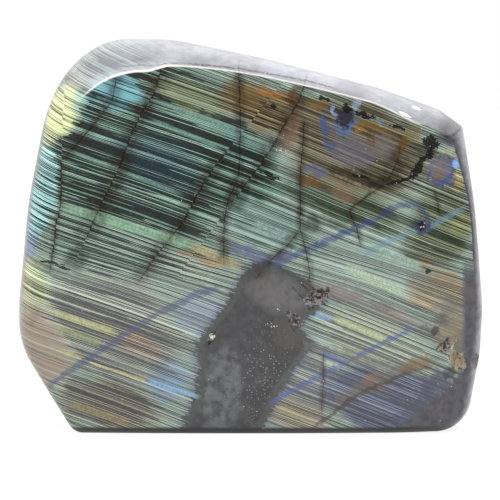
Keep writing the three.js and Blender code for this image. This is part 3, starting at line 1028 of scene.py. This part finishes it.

# Along the crease between face and crown a pale line is painted into the colour, a painted highlight standing
# for a lamp's reflection, with painted sheen above it on the left. It follows the mesh's own crease, every
# fourth point of it.
CREASE_LEFT, CREASE_RIGHT, CREASE_LOW = -50, 51, 90
CREASE_FADE = 3.0
CREASE_HIGHLIGHT = tone(232, 226, 220)
CREASE_SHEEN = tone(206, 214, 216)
crown_crease = [
    (x_at, z_at)
    for x_at, _, z_at in grid[FACE_RINGS - 1]
    if z_at > CREASE_LOW and CREASE_LEFT < x_at < CREASE_RIGHT
]
crease_gap, crease_ends = trail(sorted(crown_crease)[::4], u_line, v_line, CREASE_FADE)
# Painted highlight: a pale line along the crease, wider on the left.
crease_highlight = (abs(crease_gap) - x.rise(-16, -28) * 0.14).rise(0.42, 0.0)
crease_highlight = crease_highlight * crease_ends * (1.0 - x.rise(-22, -8) * 0.3)
# Painted sheen: pale streaks on the bevel within a few millimetres above the crease, on the left.
crease_sheen = crease_gap.rise(4.0, 0.0) * crease_gap.rise(-0.3, 0.3) * crease_ends * x.rise(-14, -28)
colour = colour.blend(CREASE_SHEEN, crease_sheen * (brushed * 1.2 - 0.1) * 0.8)
colour = colour.blend(CREASE_HIGHLIGHT, crease_highlight * (0.85 + (cloudy - 0.5) * 0.5))
# Two painted highlights on the crown's bevel near its right end, white patches standing for a lamp's
# reflection: middle x and z, half sizes and turn.
GLEAMS = [(50.3, 98, 1.9, 0.5, -20), (46.4, 96.3, 2.6, 0.5, -27)]
GLEAM = tone(250, 250, 250)
GLEAM_SOFT = 0.95
for shape_of_gleam in GLEAMS:
    colour = colour.blend(GLEAM, patch((x, z), *shape_of_gleam, GLEAM_SOFT))

# The two ends, the lower right corner, a facet at the right of the crown, the right rim and the back show
# stone that does not flash. The ends carry painted reflections, paler where they turn away to the right or to
# the left, and the foot's edge is painted dark as painted shade.
CORNER = [(2, 44), (8, 52), (13, 58), (19, 63), (24, 68)]
FACET = (60.5, 91, 5.5, 6, 30, 0.7)
FOOT_SHADE = tone(10, 9, 10)
end_stone = cloudy.rise(0.35, 0.65).between(tone(58, 56, 62), tone(78, 76, 83))
# Painted reflection: the ends turn paler where they face further to the right, standing for the white room
# seen at a grazing angle.
end_sheen = (cloudy * 0.6 + broad_cloud * 0.6 - 0.1).rise(0.35, 0.65)
end_sheen = end_sheen.between(tone(108, 108, 116), tone(156, 156, 164))
end_stone = end_stone.blend(end_sheen, sideways.rise(0.6, 0.95))
corner_gap, _ = trail(CORNER, v_line, u_torn)
corner = (corner_gap - fringe * 0.6).rise(-0.8, 1.2) * z.rise(26, 20)
facet = patch(loose, *FACET)
right_rim = (x + ragged * 0.5).rise(63.2, 65) * z.rise(56, 46)
colour = colour.blend(end_stone, corner.over(facet).over(sideways.rise(0.4, 0.6)).over(right_rim))
# Painted reflection: a pale grey rim where the left end faces away to the left.
colour = colour.blend(tone(128, 128, 138), sideways.rise(-0.84, -0.96))
dull = ground.blend(flash, lit * 0.35)
colour = colour.blend(dull, rearward.rise(0.2, 0.6) * (1.0 - upward.rise(0.4, 0.7)))
# Painted shade: the foot's lowest edge darkened, standing for the shadowed table it faces and reflects.
colour = colour.blend(FOOT_SHADE, z.rise(2.6, 1.5) * 0.97)

SPARK = tone(220, 212, 196)
colour = colour.blend(SPARK, spark)

x, y, z, torn, chance, near, fleck_tone = after(colour, x, y, z, torn, chance, near, fleck_tone)

# The crumbled hollows: pinkish grey grit with dark seams, and a tan one at the right edge. They lie
# in the face and its bevel, and none goes through to the back.
HOLLOW_RIM = 1.15
loose = blurred(follow(colour), CRUMB_BLUR)
broken = largest(
    patch(loose, x_mid, z_mid, half_x * HOLLOW_RIM, half_z * HOLLOW_RIM, math.degrees(turn), 0.5)
    for x_mid, z_mid, half_x, _, half_z, turn in HOLLOWS
)
grit = torn.rise(0.42, 0.58).between(tone(36, 33, 32), tone(140, 130, 128))
grit = grit.blend(tone(150, 138, 110), x.rise(60, 61) * torn.rise(0.35, 0.5))
grit = grit.blend(tone(96, 94, 98), x.rise(64, 66) * (torn * 0.6 + 0.5))
grit = grit.blend(tone(222, 216, 204), x.rise(-8, -10) * torn.rise(0.4, 0.5))
broken = (broken * 2.2 + (torn - 0.5) * 1.5 - chance).rise(0.0, 0.3) * broken.rise(0.0, 0.15)
broken = broken * y.rise(-9, -13)
colour = colour.blend(grit, broken)

# Pale crumbs in the hollows and beside them: middle x and z and half sizes.
CRUMBS = [
    (6.3, 33.2, 2.2, 0.9),
    (9.8, 85.5, 2.6, 0.8),
    (8.5, 37.7, 1.0, 0.6),
    (60.8, 26, 0.8, 0.8),
    (52, 63, 1.2, 1.2),
]
CRUMBS_TURN = -12
CRUMB_WHITE = tone(196, 184, 164)
crumbs = largest(patch(loose, *shape_of_crumbs, CRUMBS_TURN, CRUMB_SOFT) for shape_of_crumbs in CRUMBS)
crumbs = (crumbs * 1.6 - fleck_tone).rise(0.2, 0.5) * near.rise(0.5, 0.25) * crumbs.rise(0.0, 0.15)
colour = colour.blend(CRUMB_WHITE, crumbs)

# Polished everywhere but in the hollows, the soot and the sawn underside.
POLISH = 0.08
BROKEN_ROUGH = 0.4
SAWN_ROUGH = 0.5
finish.node_tree.links.new(colour.socket, surface.inputs["Base Color"])
rough = broken.over(crumbs).over(soot * 0.2) * BROKEN_ROUGH + POLISH + upward.rise(-0.6, -0.9) * SAWN_ROUGH
finish.node_tree.links.new(rough.socket, surface.inputs["Roughness"])
surface.inputs["IOR"].default_value = 1.56
mesh.materials.append(finish)

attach(stone, "root")
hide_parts("labradorite")

# --- The table it stands on --------------------------------------------
# A sheet of matt white paper, wide enough that its edge is never seen behind the stone. It glows a
# little, as paper does that is lit from behind, so that it reads white right up to the stone.
SWEEP = 3.0
PAPER_GREY = (0.14, 0.14, 0.14, 1)
PAPER_GLOW = 0.85
WHITE = (1, 1, 1, 1)
floor_mesh = bpy.data.meshes.new("white_sweep")
sweep_corners = [(-SWEEP, -SWEEP, 0), (SWEEP, -SWEEP, 0), (SWEEP, SWEEP, 0), (-SWEEP, SWEEP, 0)]
floor_mesh.from_pydata(sweep_corners, [], [(0, 1, 2, 3)])
sweep = bpy.data.objects.new("white_sweep", floor_mesh)
bpy.context.scene.collection.objects.link(sweep)
paper = bpy.data.materials.new("white_paper")
paper.use_nodes = True
paper_base = paper.node_tree.nodes["Principled BSDF"]
paper_base.inputs["Base Color"].default_value = PAPER_GREY
paper_base.inputs["Roughness"].default_value = 0.9
paper_base.inputs["Emission Color"].default_value = WHITE
paper_base.inputs["Emission Strength"].default_value = PAPER_GLOW
floor_mesh.materials.append(paper)

# --- Studio light ------------------------------------------------------
# The room is white behind, brighter overhead and dim on the camera's side, so the polished face
# stays deep. One long soft box hangs in front of the stone and draws a line along its crease.
BACK_LIGHT = 0.88
TOP_LIGHT = 1.5
LEAST_LIGHT = 0.1


def soft_box(name, place, aim, size, power):
    """A wide lamp at a place, aimed at a point, that the camera doesn't see."""
    light = bpy.data.lights.new(name, "AREA")
    light.shape = "RECTANGLE"
    light.size = size[0]
    light.size_y = size[1]
    light.energy = power
    lamp = bpy.data.objects.new(name, light)
    lamp.location = place
    lamp.rotation_euler = (Vector(aim) - Vector(place)).to_track_quat("-Z", "Y").to_euler()
    lamp.visible_camera = False
    bpy.context.scene.collection.objects.link(lamp)


soft_box("front_box", place=(0, -0.7, 0.72), aim=(0, 0, 0.06), size=(1.5, 0.3), power=5)

room = bpy.data.worlds.new("studio")
room.use_nodes = True
bpy.context.scene.world = room
sky = room.node_tree.nodes["Background"]
direction = Field(room.node_tree.nodes.new("ShaderNodeTexCoord").outputs["Generated"])
back = direction.node("ShaderNodeSeparateXYZ", {}, {0: direction}, "Y")
overhead = back.beside("Z").rise(0.2, 0.9)
seen = Field(room.node_tree.nodes.new("ShaderNodeLightPath").outputs["Is Camera Ray"])
strength = (back.rise(-0.5, 0.4) * BACK_LIGHT + overhead * TOP_LIGHT + LEAST_LIGHT).over(seen)
room.node_tree.links.new(strength.socket, sky.inputs["Strength"])
sky.inputs["Color"].default_value = WHITE

bpy.context.scene.view_settings.view_transform = "Standard"

# --- Camera ------------------------------------------------------------
# Straight in front of the flashing face and a little above it, through a long lens, so that the
# outline is hardly drawn together by distance.
CAMERA_RISE = math.radians(5)
CAMERA_REACH = 0.75
AIM = Vector((0, -0.021, 0.0558))
lens = bpy.data.cameras.new("studio_camera")
lens.lens = 180
lens.sensor_width = 36
lens.clip_start = 0.01
camera = bpy.data.objects.new("studio_camera", lens)
toward = Vector((0, -math.cos(CAMERA_RISE), math.sin(CAMERA_RISE)))
camera.location = AIM + toward * CAMERA_REACH
camera.rotation_euler = (-toward).to_track_quat("-Z", "Y").to_euler()
bpy.context.scene.collection.objects.link(camera)
bpy.context.scene.camera = camera
